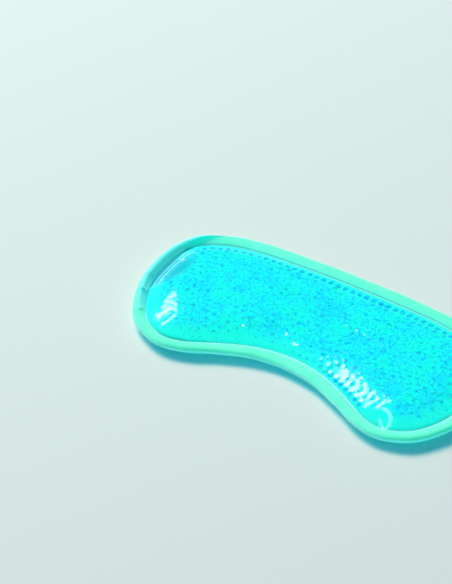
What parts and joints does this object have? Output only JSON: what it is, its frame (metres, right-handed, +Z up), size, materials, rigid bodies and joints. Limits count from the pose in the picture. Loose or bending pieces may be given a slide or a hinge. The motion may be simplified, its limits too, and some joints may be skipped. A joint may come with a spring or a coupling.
{
  "type": "eye pillow",
  "caption": "Kidney-shaped cold or warm eye pillow: clear film pouch packed with cyan gel beads, soft mint fabric binding round the welded rim, folds at the nose bridge.",
  "frame": {"origin": "on the table under the middle of the pillow's bounding box, with the pillow lying flat on its back film", "axes": "+X along the pillow towards its right lobe, +Y from the nose notch to the brow edge, +Z up out of the front film"},
  "size_m": [0.2, 0.1004, 0.012],
  "materials": {
    "clear_film": "clear, high gloss, soft vinyl",
    "gel_beads": "wet translucent gel",
    "binding_fabric": "fine smooth stretch knit, matt with a soft sheen",
    "seam_thread": "fine polyester thread"
  },
  "bodies": {
    "left_lobe": {"front_film_left": "clear_film", "back_film_left": "clear_film", "gel_beads_left": "gel_beads", "edge_binding_left": "binding_fabric", "needle_thread_left": "seam_thread", "bobbin_thread_left": "seam_thread"},
    "right_lobe": {"front_film_right": "clear_film", "back_film_right": "clear_film", "gel_beads_right": "gel_beads", "edge_binding_right": "binding_fabric", "needle_thread_right": "seam_thread", "bobbin_thread_right": "seam_thread"}
  },
  "joints": [
    {"name": "nose_bridge_fold", "type": "hinge", "parent": "left_lobe", "child": "right_lobe", "pos_m": [0, 0, 0.012], "axis": [0, -1, 0], "range_deg": [0, 60]}
  ]
}
